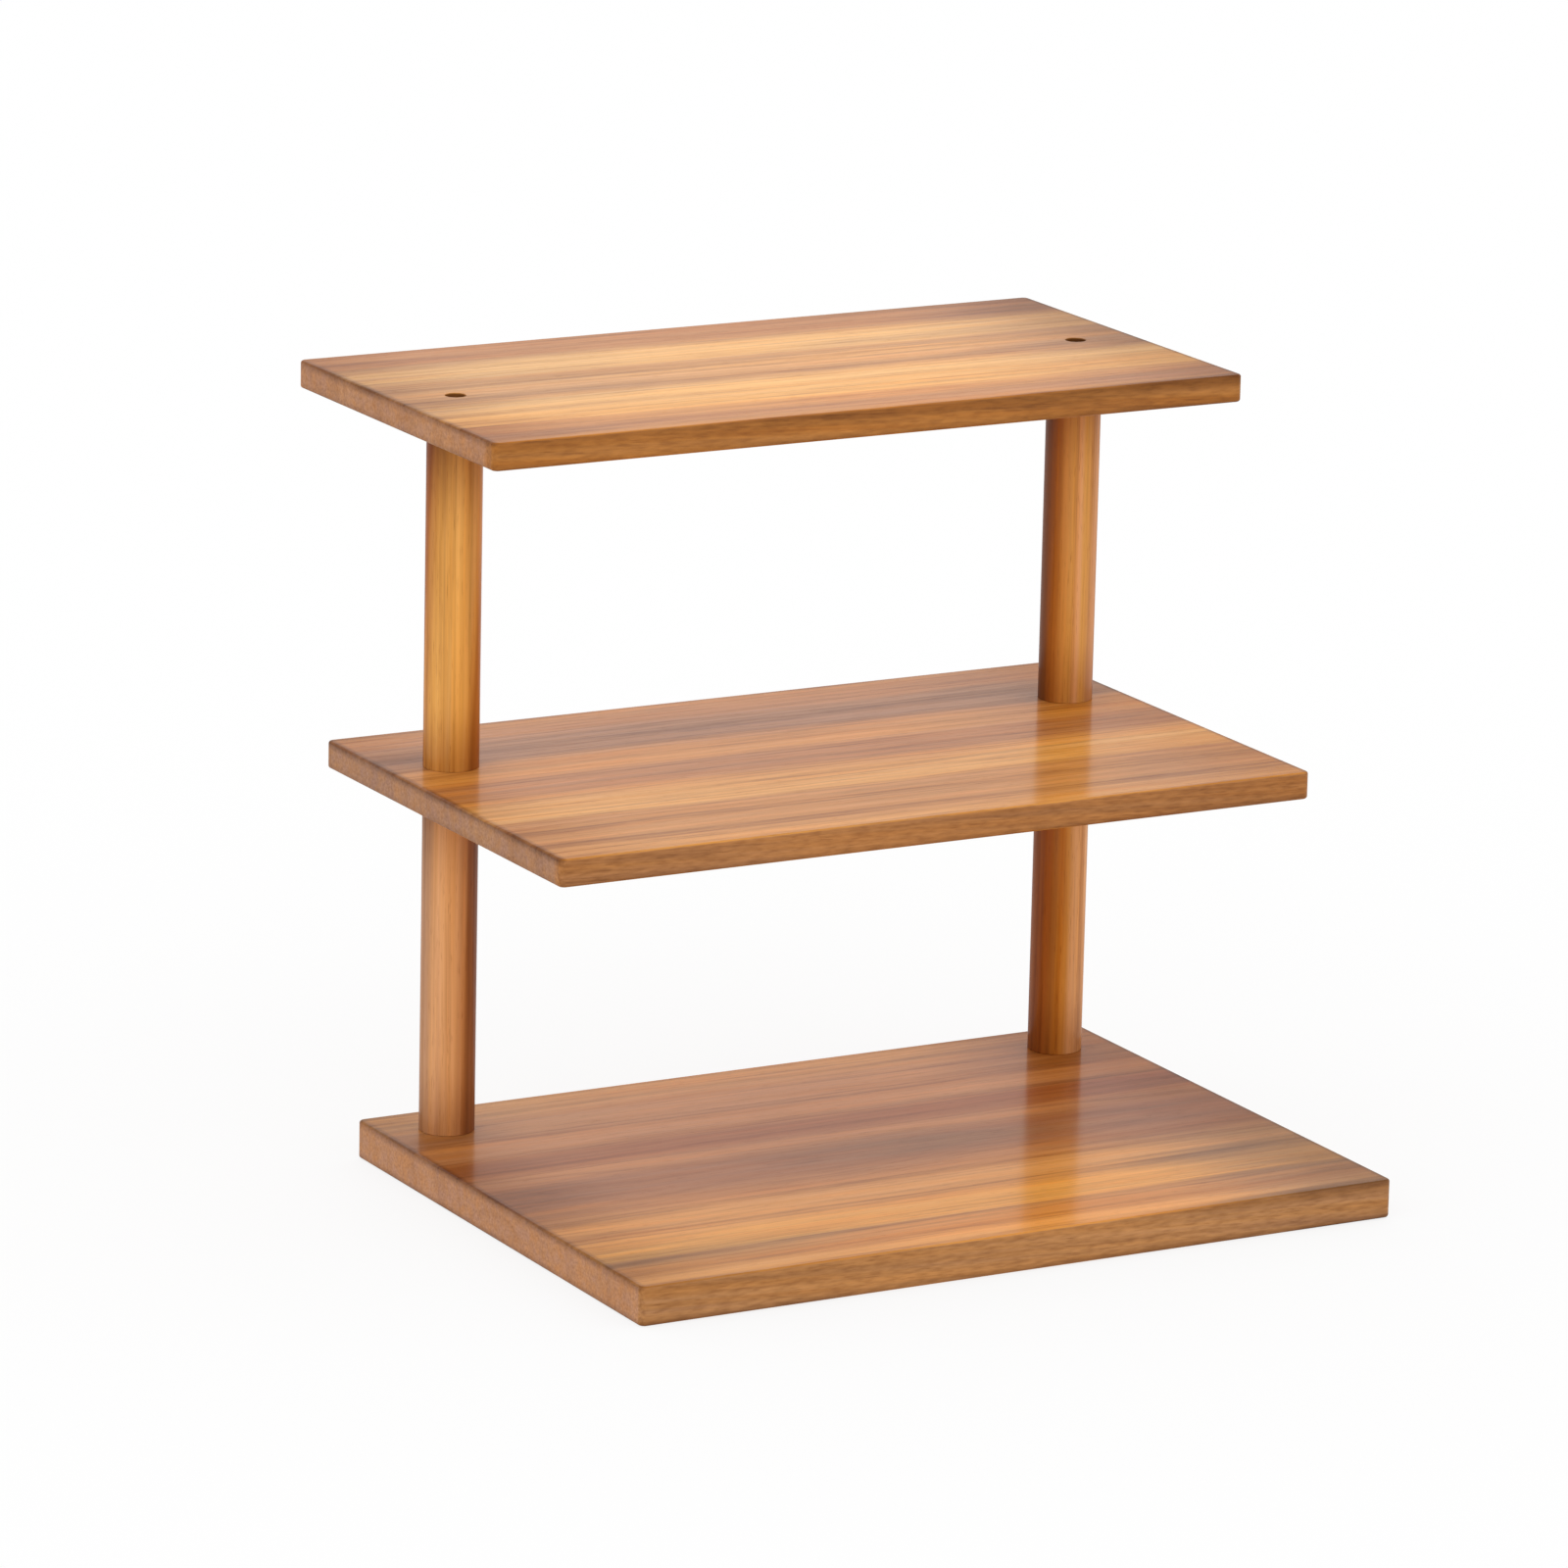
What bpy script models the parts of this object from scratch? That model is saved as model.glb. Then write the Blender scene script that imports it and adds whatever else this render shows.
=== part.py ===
"""Tiered display rack: three hardwood boards on two lines of round posts, held by screws and studs.

Units are metres. +X runs along the boards, the front faces -Y and +Z is up. The origin lies on the
base board's underside, in the middle of the rack's overall length and depth.
"""
import math

import bmesh
import bpy

# Boards
BOARD_LENGTH = 0.300
BASE_DEPTH = 0.219
MIDDLE_DEPTH = 0.1835
TOP_DEPTH = 0.1545
BASE_THICKNESS = 0.014
SHELF_THICKNESS = 0.010
CORNER_RADIUS = 0.0025
EDGE_ROUND = 0.001

# How far each board reaches behind the line of the posts
BASE_BACK_REACH = 0.0237
MIDDLE_BACK_REACH = 0.0517
TOP_BACK_REACH = 0.077

# Posts, all four alike
POST_DIAMETER = 0.020
POST_LENGTH = 0.1233
POST_END_INSET = 0.024
POST_CHAMFER = 0.0004

# Screws and studs with an M4 thread
THREAD_DIAMETER = 0.004
HEAD_RIM = 0.0015
HEAD_HEIGHT = 0.004
HEAD_CHAMFER = 0.0004
SOCKET_WIDTH = 0.003
SOCKET_DEPTH = 0.002
SCREW_RECESS = 0.002
TIP_CHAMFER = 0.0006
THREAD_OVERRUN = 0.0012

# Threaded inserts in the post ends
INSERT_WALL = 0.0017
INSERT_LENGTH = 0.010
INSERT_SINK = 0.0005
SLOT_WIDTH = 0.0012
SLOT_DEPTH = 0.0015

# Clearances: across a seat, along a hole's wall and past a screw's tip
SEAT_GAP = 0.0003
THREAD_GAP = 0.0003
INSERT_GAP = 0.0003
HOLE_GAP = 0.00025
RECESS_GAP = 0.00025
TIP_GAP = 0.001

# Facets of the round shapes
POST_SIDES = 40
SMALL_SIDES = 24
HEXAGON_SIDES = 6
CORNER_SEGMENTS = 4
EDGE_SEGMENTS = 2
SHARP_ANGLE = math.radians(30)

# Cutters run this far past the faces that they open
CUT_OVERSHOOT = 0.001
MERGE_DISTANCE = 0.000001

# Finish: linear colour, roughness, metallic
WARM_BROWN_WOOD = ((0.36, 0.16, 0.055), 0.25, 0.0)
TAN_WOOD = ((0.42, 0.20, 0.075), 0.25, 0.0)
GOLDEN_WOOD = ((0.50, 0.25, 0.085), 0.25, 0.0)
RED_BROWN_WOOD = ((0.33, 0.13, 0.040), 0.25, 0.0)
BLACK_STEEL = ((0.030, 0.029, 0.028), 0.40, 1.0)
ZINC_STEEL = ((0.55, 0.55, 0.53), 0.35, 1.0)
BRASS = ((0.66, 0.47, 0.17), 0.35, 1.0)

# Sizes that follow from the ones above
POST_X = BOARD_LENGTH / 2 - POST_END_INSET
SIDES = {"left": -POST_X, "right": POST_X}

BACK_REACH = max(BASE_BACK_REACH, MIDDLE_BACK_REACH, TOP_BACK_REACH)
FRONT_REACH = max(
    BASE_DEPTH - BASE_BACK_REACH,
    MIDDLE_DEPTH - MIDDLE_BACK_REACH,
    TOP_DEPTH - TOP_BACK_REACH,
)
POST_Y = (FRONT_REACH - BACK_REACH) / 2

LOWER_POST_Z = BASE_THICKNESS + SEAT_GAP
MIDDLE_Z = LOWER_POST_Z + POST_LENGTH + SEAT_GAP
UPPER_POST_Z = MIDDLE_Z + SHELF_THICKNESS + SEAT_GAP
TOP_Z = UPPER_POST_Z + POST_LENGTH + SEAT_GAP

THREAD_RADIUS = THREAD_DIAMETER / 2
HEAD_RADIUS = THREAD_RADIUS + HEAD_RIM
HOLE_RADIUS = THREAD_RADIUS + HOLE_GAP
RECESS_RADIUS = HEAD_RADIUS + RECESS_GAP
RECESS_DEPTH = SCREW_RECESS + HEAD_HEIGHT + SEAT_GAP
INSERT_BORE_RADIUS = THREAD_RADIUS + THREAD_GAP
INSERT_RADIUS = INSERT_BORE_RADIUS + INSERT_WALL
POCKET_RADIUS = INSERT_RADIUS + INSERT_GAP
POCKET_DEPTH = INSERT_SINK + INSERT_LENGTH + SEAT_GAP
THREAD_REACH = INSERT_SINK + INSERT_LENGTH + THREAD_OVERRUN
PILOT_DEPTH = THREAD_REACH + TIP_GAP


def clear_scene():
    """Start from an empty scene."""
    for old in list(bpy.data.objects):
        bpy.data.objects.remove(old, do_unlink=True)


def make_material(name, finish):
    """A Principled material with one colour, roughness and metallic value."""
    colour, roughness, metallic = finish
    material = bpy.data.materials.new(name)
    material.use_nodes = True
    shader = material.node_tree.nodes["Principled BSDF"]
    shader.inputs["Base Color"].default_value = (*colour, 1.0)
    shader.inputs["Roughness"].default_value = roughness
    shader.inputs["Metallic"].default_value = metallic
    return material


def finish_mesh(name, bm):
    """Turn a bmesh into a closed, outward-facing mesh with its round stretches shaded smooth."""
    bmesh.ops.remove_doubles(bm, verts=bm.verts, dist=MERGE_DISTANCE)
    bmesh.ops.recalc_face_normals(bm, faces=bm.faces)
    mesh = bpy.data.meshes.new(name)
    bm.to_mesh(mesh)
    bm.free()
    mesh.shade_smooth()
    mesh.set_sharp_from_angle(angle=SHARP_ANGLE)
    return mesh


def turned_mesh(name, outline, sides, ring=False):
    """Spin an outline of (radius, height) points round Z. A ring's outline closes on itself."""
    bm = bmesh.new()
    points = [bm.verts.new((radius, 0.0, height)) for radius, height in outline]
    following = points[1:] + points[:1] if ring else points[1:]
    lines = [bm.edges.new(pair) for pair in zip(points, following)]
    bmesh.ops.spin(
        bm,
        geom=points + lines,
        cent=(0.0, 0.0, 0.0),
        axis=(0.0, 0.0, 1.0),
        angle=math.tau,
        steps=sides,
    )
    return finish_mesh(name, bm)


def block_mesh(name, size):
    """A plain block centred on its own origin."""
    bm = bmesh.new()
    bmesh.ops.create_cube(bm, size=1.0)
    bmesh.ops.scale(bm, vec=size, verts=bm.verts)
    return finish_mesh(name, bm)


def board_mesh(name, depth, thickness):
    """A board with rounded plan corners and softly rounded edges, centred on its own origin."""
    bm = bmesh.new()
    bmesh.ops.create_cube(bm, size=1.0)
    bmesh.ops.scale(bm, vec=(BOARD_LENGTH, depth, thickness), verts=bm.verts)

    upright = [edge for edge in bm.edges if edge.verts[0].co.z * edge.verts[1].co.z < 0]
    bmesh.ops.bevel(
        bm, geom=upright, offset=CORNER_RADIUS, segments=CORNER_SEGMENTS, profile=0.5, affect="EDGES"
    )

    rims = [edge for edge in bm.edges if edge.verts[0].co.z * edge.verts[1].co.z > 0]
    bmesh.ops.bevel(
        bm, geom=rims, offset=EDGE_ROUND, segments=EDGE_SEGMENTS, profile=0.5, affect="EDGES"
    )
    return finish_mesh(name, bm)


def post_mesh(name):
    """A post standing on its origin, with a stepped pocket for an insert and a thread in each end."""
    radius = POST_DIAMETER / 2
    head_end = [
        (0.0, POST_LENGTH - PILOT_DEPTH),
        (HOLE_RADIUS, POST_LENGTH - PILOT_DEPTH),
        (HOLE_RADIUS, POST_LENGTH - POCKET_DEPTH),
        (POCKET_RADIUS, POST_LENGTH - POCKET_DEPTH),
        (POCKET_RADIUS, POST_LENGTH),
        (radius - POST_CHAMFER, POST_LENGTH),
        (radius, POST_LENGTH - POST_CHAMFER),
    ]
    foot_end = [(reach, POST_LENGTH - height) for reach, height in reversed(head_end)]
    return turned_mesh(name, head_end + foot_end, POST_SIDES)


def insert_mesh(name):
    """A threaded bush whose mouth is at the origin and whose body lies below it."""
    outline = [
        (INSERT_BORE_RADIUS, 0.0),
        (INSERT_RADIUS, 0.0),
        (INSERT_RADIUS, -INSERT_LENGTH),
        (INSERT_BORE_RADIUS, -INSERT_LENGTH),
    ]
    return turned_mesh(name, outline, SMALL_SIDES, ring=True)


def screw_mesh(name, shank_length):
    """A cap screw with its head's seat at the origin, the head above it and the shank below."""
    outline = [
        (0.0, HEAD_HEIGHT),
        (HEAD_RADIUS - HEAD_CHAMFER, HEAD_HEIGHT),
        (HEAD_RADIUS, HEAD_HEIGHT - HEAD_CHAMFER),
        (HEAD_RADIUS, 0.0),
        (THREAD_RADIUS, 0.0),
        (THREAD_RADIUS, TIP_CHAMFER - shank_length),
        (THREAD_RADIUS - TIP_CHAMFER, -shank_length),
        (0.0, -shank_length),
    ]
    return turned_mesh(name, outline, SMALL_SIDES)


def stud_mesh(name, length):
    """A headless stud, chamfered at both ends and centred on its own origin."""
    outline = [
        (0.0, length / 2),
        (THREAD_RADIUS - TIP_CHAMFER, length / 2),
        (THREAD_RADIUS, length / 2 - TIP_CHAMFER),
        (THREAD_RADIUS, TIP_CHAMFER - length / 2),
        (THREAD_RADIUS - TIP_CHAMFER, -length / 2),
        (0.0, -length / 2),
    ]
    return turned_mesh(name, outline, SMALL_SIDES)


def hole_mesh(name, thickness):
    """A cutter for a plain screw hole through a board whose underside is at the origin."""
    outline = [
        (0.0, thickness + CUT_OVERSHOOT),
        (HOLE_RADIUS, thickness + CUT_OVERSHOOT),
        (HOLE_RADIUS, -CUT_OVERSHOOT),
        (0.0, -CUT_OVERSHOOT),
    ]
    return turned_mesh(name, outline, SMALL_SIDES)


def recessed_hole_mesh(name, thickness):
    """A cutter for a screw hole with a recess for the head, open at the top of the board."""
    outline = [
        (0.0, thickness + CUT_OVERSHOOT),
        (RECESS_RADIUS, thickness + CUT_OVERSHOOT),
        (RECESS_RADIUS, thickness - RECESS_DEPTH),
        (HOLE_RADIUS, thickness - RECESS_DEPTH),
        (HOLE_RADIUS, -CUT_OVERSHOOT),
        (0.0, -CUT_OVERSHOOT),
    ]
    return turned_mesh(name, outline, SMALL_SIDES)


def socket_mesh(name):
    """A cutter for the hexagon socket in a screw's head."""
    corner_radius = SOCKET_WIDTH / 2 / math.cos(math.pi / HEXAGON_SIDES)
    outline = [
        (0.0, HEAD_HEIGHT + CUT_OVERSHOOT),
        (corner_radius, HEAD_HEIGHT + CUT_OVERSHOOT),
        (corner_radius, HEAD_HEIGHT - SOCKET_DEPTH),
        (0.0, HEAD_HEIGHT - SOCKET_DEPTH),
    ]
    return turned_mesh(name, outline, HEXAGON_SIDES)


def place(name, mesh, parent, location, flipped=False):
    """Put a mesh into the scene under a parent. A flipped piece is turned upside down."""
    piece = bpy.data.objects.new(name, mesh)
    bpy.context.scene.collection.objects.link(piece)
    piece.parent = parent
    piece.location = location
    if flipped:
        piece.rotation_euler = (math.pi, 0.0, 0.0)
    return piece


def place_cutter(name, mesh, target, location, flipped=False):
    """Cut a mesh out of a piece, at a place given in that piece's own frame."""
    cutter = place(name, mesh, target, location, flipped)
    cutter.hide_render = True
    cutter.display_type = "WIRE"
    cut = target.modifiers.new(name, "BOOLEAN")
    cut.operation = "DIFFERENCE"
    cut.solver = "EXACT"
    cut.object = cutter


def give_material(piece, finish):
    """Give a piece a material of its own."""
    piece.data.materials.append(make_material(piece.name, finish))


def add_board(rack, name, depth, thickness, back_reach, underside, finish):
    """A board in its place over the line of the posts, and its hole centres in its own frame."""
    centre_y = POST_Y + back_reach - depth / 2
    centre_z = underside + thickness / 2
    board = place(name, board_mesh(name, depth, thickness), rack, (0.0, centre_y, centre_z))
    give_material(board, finish)
    return board, {side: (x, POST_Y - centre_y) for side, x in SIDES.items()}


def add_boards(rack):
    """The base board and the two shelves, with their screw holes."""
    base, holes = add_board(
        rack, "base_board", BASE_DEPTH, BASE_THICKNESS, BASE_BACK_REACH, 0.0, WARM_BROWN_WOOD
    )
    for side, (x, y) in holes.items():
        name = f"base_hole_{side}"
        cutter = recessed_hole_mesh(name, BASE_THICKNESS)
        place_cutter(name, cutter, base, (x, y, BASE_THICKNESS / 2), flipped=True)

    middle, holes = add_board(
        rack, "middle_shelf", MIDDLE_DEPTH, SHELF_THICKNESS, MIDDLE_BACK_REACH, MIDDLE_Z, TAN_WOOD
    )
    for side, (x, y) in holes.items():
        name = f"middle_hole_{side}"
        place_cutter(name, hole_mesh(name, SHELF_THICKNESS), middle, (x, y, -SHELF_THICKNESS / 2))

    top, holes = add_board(
        rack, "top_shelf", TOP_DEPTH, SHELF_THICKNESS, TOP_BACK_REACH, TOP_Z, GOLDEN_WOOD
    )
    for side, (x, y) in holes.items():
        name = f"top_hole_{side}"
        place_cutter(name, recessed_hole_mesh(name, SHELF_THICKNESS), top, (x, y, -SHELF_THICKNESS / 2))


def add_insert(post, name, location, flipped=False):
    """A threaded insert in one end of a post, with a driving slot across its mouth."""
    insert = place(name, insert_mesh(name), post, location, flipped)
    give_material(insert, BRASS)
    slot_name = f"{name}_slot"
    slot_size = (2 * (INSERT_RADIUS + CUT_OVERSHOOT), SLOT_WIDTH, 2 * SLOT_DEPTH)
    place_cutter(slot_name, block_mesh(slot_name, slot_size), insert, (0.0, 0.0, 0.0))


def add_post(rack, name, location, finish):
    """A post with an insert sunk into its foot and another into its head."""
    post = place(name, post_mesh(name), rack, location)
    give_material(post, finish)
    add_insert(post, f"{name}_foot_insert", (0.0, 0.0, INSERT_SINK), flipped=True)
    add_insert(post, f"{name}_head_insert", (0.0, 0.0, POST_LENGTH - INSERT_SINK))


def add_posts(rack):
    """Two posts on each side, one under and one over the middle shelf."""
    add_post(rack, "lower_post_left", (SIDES["left"], POST_Y, LOWER_POST_Z), TAN_WOOD)
    add_post(rack, "lower_post_right", (SIDES["right"], POST_Y, LOWER_POST_Z), RED_BROWN_WOOD)
    add_post(rack, "upper_post_left", (SIDES["left"], POST_Y, UPPER_POST_Z), GOLDEN_WOOD)
    add_post(rack, "upper_post_right", (SIDES["right"], POST_Y, UPPER_POST_Z), TAN_WOOD)


def add_screw(rack, name, thickness, location, flipped=False):
    """A cap screw whose head sits in a board's recess and whose thread enters the post behind it."""
    web = thickness - RECESS_DEPTH
    shank_length = web + 2 * SEAT_GAP + THREAD_REACH
    screw = place(name, screw_mesh(name, shank_length), rack, location, flipped)
    give_material(screw, BLACK_STEEL)
    socket_name = f"{name}_socket"
    place_cutter(socket_name, socket_mesh(socket_name), screw, (0.0, 0.0, 0.0))


def add_fasteners(rack):
    """Screws up through the base, studs through the middle shelf and screws down through the top."""
    base_seat = RECESS_DEPTH - SEAT_GAP
    top_seat = TOP_Z + SHELF_THICKNESS - RECESS_DEPTH + SEAT_GAP
    stud_length = SHELF_THICKNESS + 2 * (SEAT_GAP + THREAD_REACH)
    stud_z = MIDDLE_Z + SHELF_THICKNESS / 2
    for side, x in SIDES.items():
        add_screw(rack, f"base_screw_{side}", BASE_THICKNESS, (x, POST_Y, base_seat), flipped=True)
        add_screw(rack, f"top_screw_{side}", SHELF_THICKNESS, (x, POST_Y, top_seat))
        stud_name = f"middle_stud_{side}"
        stud = place(stud_name, stud_mesh(stud_name, stud_length), rack, (x, POST_Y, stud_z))
        give_material(stud, ZINC_STEEL)


def main():
    clear_scene()
    rack = bpy.data.objects.new("rack", None)
    bpy.context.scene.collection.objects.link(rack)
    add_boards(rack)
    add_posts(rack)
    add_fasteners(rack)


main()
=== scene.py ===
import math

import bmesh
import bpy
from mathutils import Matrix, Vector


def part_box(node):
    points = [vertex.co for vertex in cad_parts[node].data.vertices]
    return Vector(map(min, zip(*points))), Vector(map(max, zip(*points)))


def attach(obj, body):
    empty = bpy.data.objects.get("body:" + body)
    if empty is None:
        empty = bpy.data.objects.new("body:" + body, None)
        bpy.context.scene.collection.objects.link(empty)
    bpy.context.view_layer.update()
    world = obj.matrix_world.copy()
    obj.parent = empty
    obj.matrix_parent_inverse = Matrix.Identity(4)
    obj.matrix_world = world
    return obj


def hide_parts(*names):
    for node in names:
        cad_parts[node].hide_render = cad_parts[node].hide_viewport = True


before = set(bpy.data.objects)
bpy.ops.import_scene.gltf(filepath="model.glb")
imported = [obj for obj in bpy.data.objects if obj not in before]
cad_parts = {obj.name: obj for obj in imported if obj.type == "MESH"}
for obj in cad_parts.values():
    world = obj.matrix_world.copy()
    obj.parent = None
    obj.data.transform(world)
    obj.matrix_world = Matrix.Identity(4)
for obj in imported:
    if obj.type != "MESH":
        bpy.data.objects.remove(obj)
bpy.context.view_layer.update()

# The sides on which the posts stand
SIDES = ("left", "right")

# Shape of the wooden pieces: lengths in metres, and numbers of steps and sides
CORNER_RADIUS = 0.0025
CORNER_STEPS = 10
ARRIS_RADIUS = 0.001
ARRIS_STEPS = 6
LIP_RADIUS = 0.0003
LIP_STEPS = 3
HOLE_SIDES = 48
POST_SIDES = 96
POST_EASE = 0.0002
POST_EASE_STEPS = 4

# Shape of the fasteners: lengths in metres, and numbers of steps, rows and sides. The thread's flanks are
# steeper than its pitch asks for, by a factor, which leaves its crest and its root flat.
HEAD_HEIGHT = 0.004
HEAD_EASE = 0.0004
HEAD_EASE_STEPS = 3
SOCKET_WIDTH = 0.003
SOCKET_DEPTH = 0.002
SOCKET_CHAMFER = 0.0001
SOCKET_CONE = 0.0004
KNURL_DEPTH = 0.00007
KNURL_MARGIN = 0.0006
THREAD_PITCH = 0.0007
THREAD_DEPTH = 0.0004
THREAD_STEEPNESS = 1.5
THREAD_ROWS = 6
THREAD_RUNOUT = 0.0006
TIP_CHAMFER = 0.0006
FASTENER_SIDES = 48

# Clearances that the solids keep, in metres, and what is left of the posts' clearance here
SEAT_GAP = 0.0003
SEAT_LEFT = 0.00002
HOLE_GAP = 0.00025
POCKET_GAP = 0.0003
POCKET_SINK = 0.0005
TIP_GAP = 0.001

# Edges sharper than this stay crisp
SHARP_ANGLE = math.radians(35)

# Camera, fitted to the boards and posts: lens and sensor in millimetres, lengths in metres
CAMERA_AZIMUTH = math.radians(-28.9912)
CAMERA_ELEVATION = math.radians(14.3578)
CAMERA_ROLL = math.radians(1.2620)
CAMERA_DISTANCE = 3.13680
CAMERA_LENS = 199.07
CAMERA_SENSOR = 36.0
CAMERA_TARGET = Vector((0.008857, 0.05915, 0.12717))
CAMERA_NEAR = 0.1
CAMERA_FAR = 100.0

# Light: its strength, and its levels at heights on a dome, from the horizon (0) to overhead (1)
SKY_PEAK = 1.50
SKY_STEPS = ((0.0, 0.30), (0.15, 0.55), (0.215, 1.0), (0.80, 1.0), (0.96, 0.42))

# Floor: tone, glow, roughness, half its width and its drop in metres, and number of segments
FLOOR_TONE = 0.14
FLOOR_GLOW = 0.82
FLOOR_ROUGHNESS = 0.9
FLOOR_HALF = 12.0
FLOOR_DROP = 0.0003
FLOOR_SEGMENTS = 4

# Wood tones, as linear red, green and blue
PALE_GOLD = (0.77, 0.380, 0.092)
GOLDEN = (0.67, 0.310, 0.066)
AMBER = (0.68, 0.285, 0.040)
HONEY = (0.60, 0.25, 0.048)
COPPER = (0.53, 0.185, 0.020)
BISCUIT = (0.55, 0.225, 0.046)
TAN = (0.50, 0.20, 0.040)
ROSE_BROWN = (0.47, 0.186, 0.050)
PINK_BROWN = (0.42, 0.158, 0.036)
SADDLE = (0.41, 0.138, 0.020)
GREY_BROWN = (0.37, 0.165, 0.070)
RUSSET = (0.38, 0.112, 0.016)
RED_BROWN = (0.32, 0.092, 0.011)
PLUM_BROWN = (0.32, 0.112, 0.030)
DARK_BROWN = (0.19, 0.058, 0.010)
CHESTNUT = (0.35, 0.134, 0.027)
NUT_BROWN = (0.33, 0.135, 0.042)
OCHRE = (0.38, 0.173, 0.060)
ROSE_TAN = (0.69, 0.330, 0.130)
DUSKY_ROSE = (0.38, 0.190, 0.098)
CLAY = (0.52, 0.224, 0.080)
COCOA = (0.31, 0.108, 0.030)
END_ROSE = (0.390, 0.182, 0.083)
END_GREY = (0.335, 0.165, 0.084)
END_TAN = (0.408, 0.190, 0.087)

# Looks of each board. Bands of tone run from the back edge (0) to the front edge (1), with one wash of
# colour over all, and grain is how strong the streaks are. Staves lists the glue lines between the strips
# of wood, and flat_stave the strip that is flat-sawn. Each patch changes a part of the board: where it
# starts and ends along the length and then across the depth, as shares, and its tint. Recess says which
# way the screw heads' recesses face. Edge and end are the tones of the long sides and of the ends; the long
# sides' tone is partly painted shade, darker than the tops. Then come the strengths of the dark lines along
# the upper corners, along the long sides from left to right and along the ends, and of the painted shade
# round the underside. End_margin is how far behind the front corner the end's own tone starts, in metres.
BOARD_LOOKS = {
    "top_shelf": {
        "slot": "top_wood",
        "seed": 1.7,
        "grain": 0.92,
        "wash": (1.015, 1.09, 1.33),
        "recess": "up",
        "bands": (
            (0.00, SADDLE), (0.13, SADDLE), (0.22, GOLDEN),
            (0.33, GOLDEN), (0.38, TAN), (0.43, HONEY),
            (0.50, TAN), (0.56, TAN), (0.63, GOLDEN),
            (0.80, AMBER), (0.85, COPPER), (0.93, SADDLE),
            (1.00, COPPER),
        ),
        "staves": (0.15, 0.345, 0.60, 0.825),
        "flat_stave": None,
        "patches": (
            (-0.5, 0.06, -0.5, 1.5, (0.62, 0.55, 0.55)),
            (-0.5, 0.32, 0.16, 0.66, (0.91, 0.93, 0.97)),
            (0.36, 0.72, 0.42, 1.5, (1.08, 1.09, 1.08)),
            (0.84, 1.5, -0.5, 0.62, (0.58, 0.51, 0.42)),
            (0.84, 1.5, 0.62, 0.84, (0.84, 0.79, 0.63)),
            (0.84, 1.5, 0.84, 1.5, (0.64, 0.56, 0.40)),
            (0.97, 1.5, -0.5, 1.5, (0.72, 0.74, 0.82)),
        ),
        "edge": CHESTNUT,
        "end": END_ROSE,
        "front_line_strength": (0.40, 1.00),
        "end_line_strength": 1.00,
        "foot_shade_strength": 0.60,
        "end_margin": 0.0045,
    },
    "middle_shelf": {
        "slot": "middle_wood",
        "seed": 4.1,
        "grain": 1.05,
        "wash": (0.99, 1.00, 0.95),
        "recess": None,
        "bands": (
            (0.00, TAN), (0.09, ROSE_BROWN), (0.16, GREY_BROWN),
            (0.26, GREY_BROWN), (0.32, BISCUIT), (0.39, HONEY),
            (0.45, ROSE_BROWN), (0.53, ROSE_BROWN), (0.57, HONEY),
            (0.62, GOLDEN), (0.715, GOLDEN), (0.740, TAN),
            (0.765, BISCUIT), (0.805, BISCUIT), (0.855, TAN),
            (0.880, TAN), (0.920, BISCUIT), (0.980, HONEY),
        ),
        "staves": (0.105, 0.30, 0.41, 0.575, 0.73),
        "flat_stave": None,
        "patches": (
            (-0.5, 0.06, -0.5, 1.5, (0.76, 0.70, 0.70)),
            (0.80, 1.5, -0.5, 0.58, (0.76, 0.68, 0.50)),
            (0.80, 1.5, 0.64, 1.5, (0.76, 0.66, 0.38)),
        ),
        "edge": NUT_BROWN,
        "end": END_GREY,
        "front_line_strength": (0.0, 0.0),
        "end_line_strength": 1.00,
        "foot_shade_strength": 0.50,
        "end_margin": 0.0030,
    },
    "base_board": {
        "slot": "base_wood",
        "seed": 7.9,
        "grain": 0.80,
        "wash": (1.00, 1.01, 1.00),
        "recess": "down",
        "bands": (
            (0.00, HONEY), (0.07, TAN), (0.12, ROSE_BROWN),
            (0.20, ROSE_BROWN), (0.28, ROSE_BROWN), (0.32, RED_BROWN),
            (0.36, RED_BROWN), (0.41, ROSE_BROWN), (0.47, PLUM_BROWN),
            (0.55, PLUM_BROWN), (0.61, PINK_BROWN), (0.69, HONEY),
            (0.75, HONEY), (0.80, AMBER), (0.855, AMBER),
            (0.875, TAN), (0.93, COPPER), (0.97, HONEY),
        ),
        "staves": (0.30, 0.40, 0.62, 0.866),
        "flat_stave": 2,
        "patches": (
            (-0.5, 0.06, -0.5, 1.5, (0.60, 0.56, 0.60)),
            (-0.5, 0.30, -0.5, 0.18, (0.89, 0.94, 1.00)),
            (-0.5, 0.30, 0.82, 0.95, (0.79, 0.84, 0.93)),
            (0.34, 0.72, 0.88, 1.5, (1.10, 1.08, 1.05)),
            (0.44, 0.66, 0.45, 0.56, (0.80, 0.90, 1.00)),
            (0.82, 1.5, 0.64, 1.5, (0.49, 0.47, 0.48)),
            # Painted shade and dark reflection round the lower right post's foot
            (0.80, 1.5, -0.5, 0.22, (0.84, 0.80, 0.70)),
            (0.80, 1.5, -0.5, 0.64, (0.70, 0.58, 0.36)),
            (0.97, 1.5, -0.5, 1.5, (0.84, 0.86, 0.90)),
        ),
        "edge": OCHRE,
        "end": END_TAN,
        "front_line_strength": (0.26, 0.85),
        "end_line_strength": 0.85,
        "foot_shade_strength": 1.00,
        "end_margin": 0.0015,
    },
}
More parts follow.
